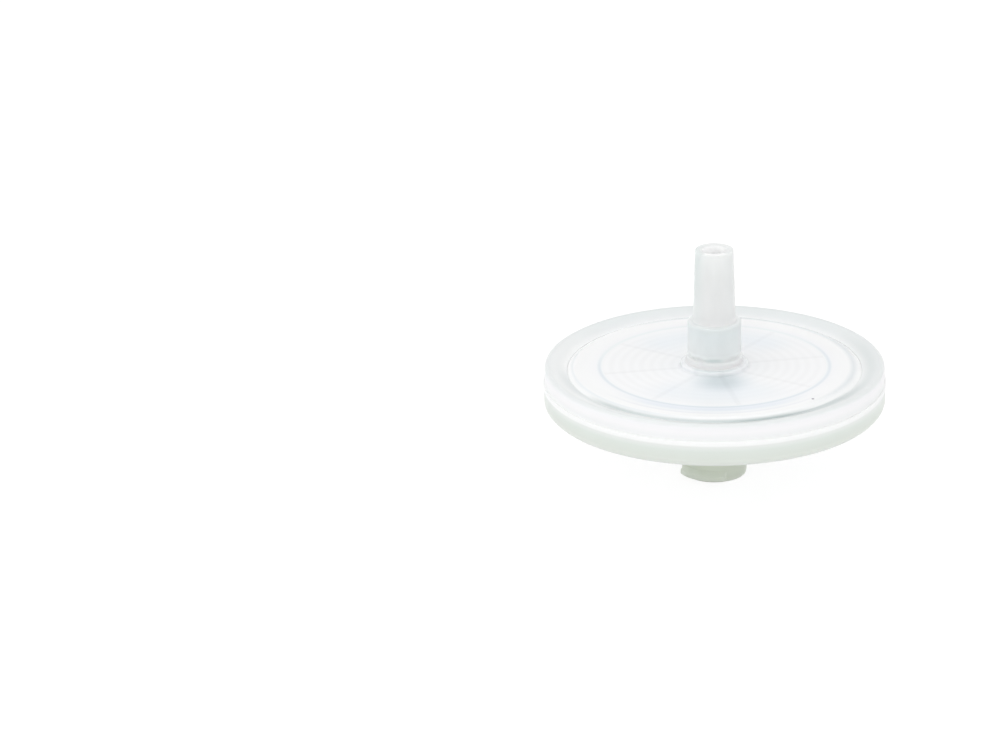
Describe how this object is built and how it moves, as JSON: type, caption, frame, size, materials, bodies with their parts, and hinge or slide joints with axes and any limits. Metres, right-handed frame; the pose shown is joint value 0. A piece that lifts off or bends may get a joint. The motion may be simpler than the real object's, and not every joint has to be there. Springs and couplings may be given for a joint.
{
  "type": "syringe filter",
  "caption": "Disposable syringe filter: flat round translucent housing with a ribbed membrane support, a female Luer lock inlet and a male Luer slip outlet.",
  "frame": {"origin": "centre of the inlet hub's end face, which the filter stands on", "axes": "+Z along the flow axis, from the inlet to the tip of the outlet; +X and +Y lie in the plane of the disc"},
  "size_m": [0.0358, 0.0358, 0.0247],
  "materials": {
    "inlet_polypropylene": "satin",
    "outlet_polypropylene": "satin",
    "ring_polypropylene": "satin",
    "membrane_white": "matte",
    "marking_black": "matte"
  },
  "bodies": {
    "root": {"inlet_shell": "inlet_polypropylene", "membrane": "membrane_white", "outlet_shell": "outlet_polypropylene", "sealing_ring": "ring_polypropylene"}
  },
  "joints": []
}
